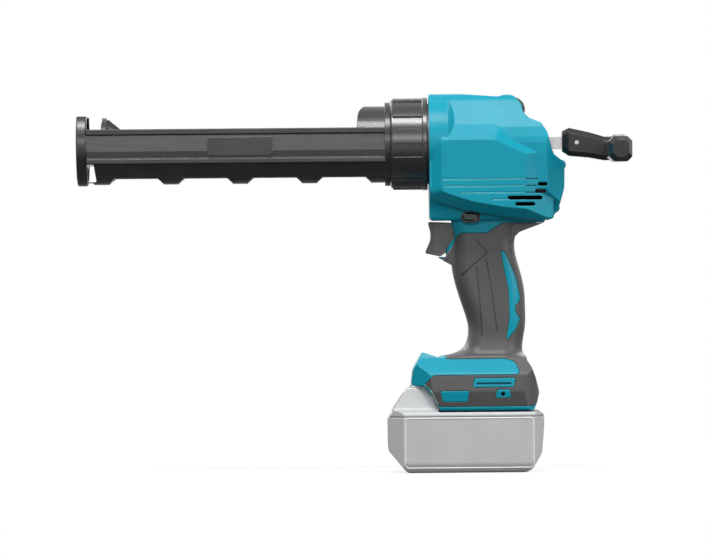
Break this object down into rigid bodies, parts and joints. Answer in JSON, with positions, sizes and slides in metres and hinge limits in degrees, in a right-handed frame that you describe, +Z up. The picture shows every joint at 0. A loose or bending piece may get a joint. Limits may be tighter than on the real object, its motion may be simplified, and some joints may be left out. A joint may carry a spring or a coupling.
{
  "type": "cordless caulking tool",
  "caption": "Cordless caulking tool with an open cartridge holder, a rack-driven piston rod with a side pull handle, a trigger grip and a removable battery pack as its base.",
  "frame": {"origin": "middle of the flat bottom of the battery pack, which the tool stands on", "axes": "+Z up, -X towards the nozzle, -Y to the user's left, where the pull handle points"},
  "size_m": [0.4079, 0.118, 0.2796],
  "materials": {
    "casing": "fine moulded texture, teal",
    "elastomer": "soft matt overmould, warm dark grey",
    "black_plastic": "black, low sheen",
    "dark_plastic": "dark grey, satin",
    "grey_plastic": "grey, satin",
    "pale_plastic": "pale grey, fine texture",
    "steel": "ground steel",
    "plated_steel": "bright zinc plate",
    "cast_aluminium": "as cast",
    "brass": "bright",
    "magnet": "sintered, dark",
    "board": "coated board",
    "cell_wrap": "shrink film"
  },
  "bodies": {
    "tool": {"housing_left": "casing", "housing_right": "casing", "grip_cover_left": "elastomer", "grip_cover_right": "elastomer", "housing_screws": "plated_steel", "gear_case": "cast_aluminium", "shaft_bearings": "steel", "bevel_bearing": "steel", "clutch_spring": "steel", "ring_gear": "steel", "roller_pin": "steel", "motor_can": "plated_steel", "motor_end_cap": "dark_plastic", "motor_bushes": "brass", "motor_magnets": "magnet", "motor_brushes": "magnet", "rod_guide_front": "black_plastic", "rod_guide_rear": "black_plastic", "trigger_spring": "steel", "switch_body": "black_plastic", "speed_control": "dark_plastic", "control_module": "dark_plastic", "terminal_block": "black_plastic", "terminal_blades": "brass"},
    "holder": {"cartridge_holder": "black_plastic"},
    "collar": {"lock_collar": "black_plastic"},
    "rod": {"rack_rod": "plated_steel", "piston_disc": "black_plastic", "piston_bolt": "plated_steel", "piston_washer": "plated_steel", "pull_handle": "black_plastic", "handle_pin": "plated_steel"},
    "pinion": {"pinion_shaft": "steel", "clutch_plate": "steel"},
    "roller": {"support_roller": "steel"},
    "rotor": {"motor_armature": "steel", "motor_commutator": "brass", "motor_fan": "dark_plastic", "sun_pinion": "steel"},
    "carrier": {"planet_carrier": "steel", "bevel_pinion": "steel"},
    "planet_1": {"planet_gear_1": "steel"},
    "planet_2": {"planet_gear_2": "steel"},
    "planet_3": {"planet_gear_3": "steel"},
    "cross": {"cross_shaft": "steel", "bevel_wheel": "steel"},
    "final": {"final_gear": "steel"},
    "trigger": {"trigger": "dark_plastic"},
    "lock": {"lock_button": "grey_plastic"},
    "dial": {"speed_dial": "black_plastic"},
    "battery": {"battery_case_lower": "pale_plastic", "battery_case_upper": "pale_plastic", "battery_screws": "plated_steel", "battery_cells": "cell_wrap", "battery_board": "board", "battery_contacts": "brass", "battery_button_spring": "steel"},
    "release": {"battery_button": "pale_plastic"}
  },
  "joints": [
    {"name": "rod_slide", "type": "slide", "parent": "tool", "child": "rod", "axis": [1, 0, 0], "range_m": [0, 0.21]},
    {"name": "pinion_spin", "type": "hinge", "parent": "tool", "child": "pinion", "pos_m": [0, 0, 0.23075], "axis": [0, 1, 0], "range_deg": [0, 1375.2]},
    {"name": "roller_spin", "type": "hinge", "parent": "tool", "child": "roller", "pos_m": [0, 0, 0.25365], "axis": [0, 1, 0], "range_deg": [-2005.5, 0]},
    {"name": "motor_spin", "type": "hinge", "parent": "tool", "child": "rotor", "pos_m": [0.048, 0, 0.20825], "axis": [1, 0, 0], "continuous": true},
    {"name": "carrier_spin", "type": "hinge", "parent": "tool", "child": "carrier", "pos_m": [0.024, 0, 0.20825], "axis": [1, 0, 0], "continuous": true},
    {"name": "planet_1_spin", "type": "hinge", "parent": "carrier", "child": "planet_1", "pos_m": [0.03, 0.00945, 0.20825], "axis": [1, 0, 0], "continuous": true},
    {"name": "planet_2_spin", "type": "hinge", "parent": "carrier", "child": "planet_2", "pos_m": [0.03, -0.00473, 0.21643], "axis": [1, 0, 0], "continuous": true},
    {"name": "planet_3_spin", "type": "hinge", "parent": "carrier", "child": "planet_3", "pos_m": [0.03, -0.00473, 0.20007], "axis": [1, 0, 0], "continuous": true},
    {"name": "cross_shaft_spin", "type": "hinge", "parent": "tool", "child": "cross", "pos_m": [0, 0, 0.20825], "axis": [0, 1, 0], "continuous": true},
    {"name": "final_gear_spin", "type": "hinge", "parent": "tool", "child": "final", "pos_m": [0, -0.009, 0.23075], "axis": [0, 1, 0], "continuous": true},
    {"name": "trigger_pull", "type": "slide", "parent": "tool", "child": "trigger", "axis": [1, 0, 0], "range_m": [0, 0.006], "stiffness_N_per_m": 800, "springref_m": -0.004, "deforming": ["trigger_spring"]},
    {"name": "lock_press", "type": "slide", "parent": "tool", "child": "lock", "axis": [0, 1, 0], "range_m": [0, 0.003]},
    {"name": "dial_turn", "type": "hinge", "parent": "tool", "child": "dial", "pos_m": [0.0369, 0, 0.268], "axis": [0, 1, 0], "range_deg": [0, 270]},
    {"name": "collar_turn", "type": "hinge", "parent": "tool", "child": "collar", "pos_m": [-0.04, 0, 0.243], "axis": [1, 0, 0], "range_deg": [0, 60]},
    {"name": "holder_turn", "type": "hinge", "parent": "tool", "child": "holder", "pos_m": [-0.15, 0, 0.243], "axis": [1, 0, 0], "continuous": true},
    {"name": "battery_slide", "type": "slide", "parent": "tool", "child": "battery", "axis": [-1, 0, 0], "range_m": [0, 0.1]},
    {"name": "release_press", "type": "slide", "parent": "battery", "child": "release", "axis": [0.8386, 0, -0.5448], "range_m": [0, 0.0035], "stiffness_N_per_m": 1500, "springref_m": -0.002, "deforming": ["battery_button_spring"]}
  ],
  "couplings": [
    {"joint": "pinion_spin", "follows": "rod_slide", "rad_per_m": 114.29},
    {"joint": "roller_spin", "follows": "rod_slide", "rad_per_m": -166.67},
    {"joint": "carrier_spin", "follows": "motor_spin", "ratio": 0.22222},
    {"joint": "cross_shaft_spin", "follows": "motor_spin", "ratio": -0.11111},
    {"joint": "final_gear_spin", "follows": "motor_spin", "ratio": 0.045139},
    {"joint": "planet_1_spin", "follows": "motor_spin", "ratio": -0.62222},
    {"joint": "planet_2_spin", "follows": "motor_spin", "ratio": -0.62222},
    {"joint": "planet_3_spin", "follows": "motor_spin", "ratio": -0.62222}
  ]
}
